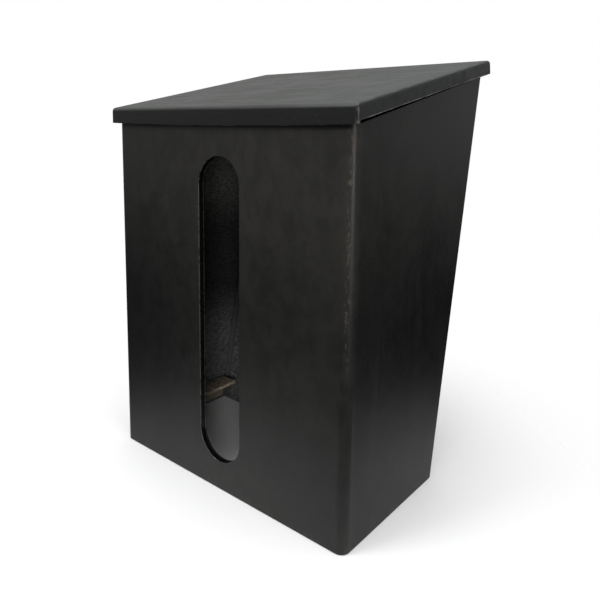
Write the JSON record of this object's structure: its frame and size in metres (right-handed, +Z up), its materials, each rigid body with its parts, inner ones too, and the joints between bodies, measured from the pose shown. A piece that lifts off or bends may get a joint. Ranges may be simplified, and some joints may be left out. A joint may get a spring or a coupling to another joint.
{
  "type": "napkin dispenser",
  "caption": "Black plastic wall box with a tall level slot, an open foot that napkins are pulled from and a sloping hinged lid.",
  "frame": {"origin": "middle of the bounding box, in the plane of the bottom rim", "axes": "+Z up along the front wall, -Y out of the slotted front, +Y towards the wall it hangs on, +X to the right of someone facing the front"},
  "size_m": [0.248, 0.19, 0.3332],
  "materials": {
    "body_plastic": "satin black sheet, smooth outside, grained inside",
    "lid_plastic": "satin black sheet with a fine grain and light scuffs",
    "ledge_plastic": "black sheet, worn slightly brown on top",
    "strip_plastic": "sawn black bar",
    "weld_plastic": "glossy melted bead",
    "hinge_steel": "brushed stainless",
    "rivet_aluminium": "plain"
  },
  "bodies": {
    "box": {"front_and_side_wall": "body_plastic", "back_panel": "body_plastic", "weld_bead_left": "weld_plastic", "weld_bead_right": "weld_plastic", "napkin_ledge_left": "ledge_plastic", "napkin_ledge_right": "ledge_plastic", "wall_strip_lower": "strip_plastic", "wall_strip_upper": "strip_plastic", "hinge_body_leaf": "hinge_steel", "hinge_pin": "hinge_steel", "body_rivet_1": "rivet_aluminium", "body_rivet_2": "rivet_aluminium", "body_rivet_3": "rivet_aluminium", "body_rivet_4": "rivet_aluminium", "rivet_washer_1": "rivet_aluminium", "rivet_washer_2": "rivet_aluminium", "rivet_washer_3": "rivet_aluminium", "rivet_washer_4": "rivet_aluminium"},
    "lid": {"lid": "lid_plastic", "hinge_lid_leaf": "hinge_steel", "lid_rivet_1": "rivet_aluminium", "lid_rivet_2": "rivet_aluminium", "lid_rivet_3": "rivet_aluminium", "lid_rivet_4": "rivet_aluminium"}
  },
  "joints": [
    {"name": "lid_hinge", "type": "hinge", "parent": "box", "child": "lid", "pos_m": [0, 0.09152, 0.32731], "axis": [-1, 0, 0], "range_deg": [0, 112]}
  ]
}
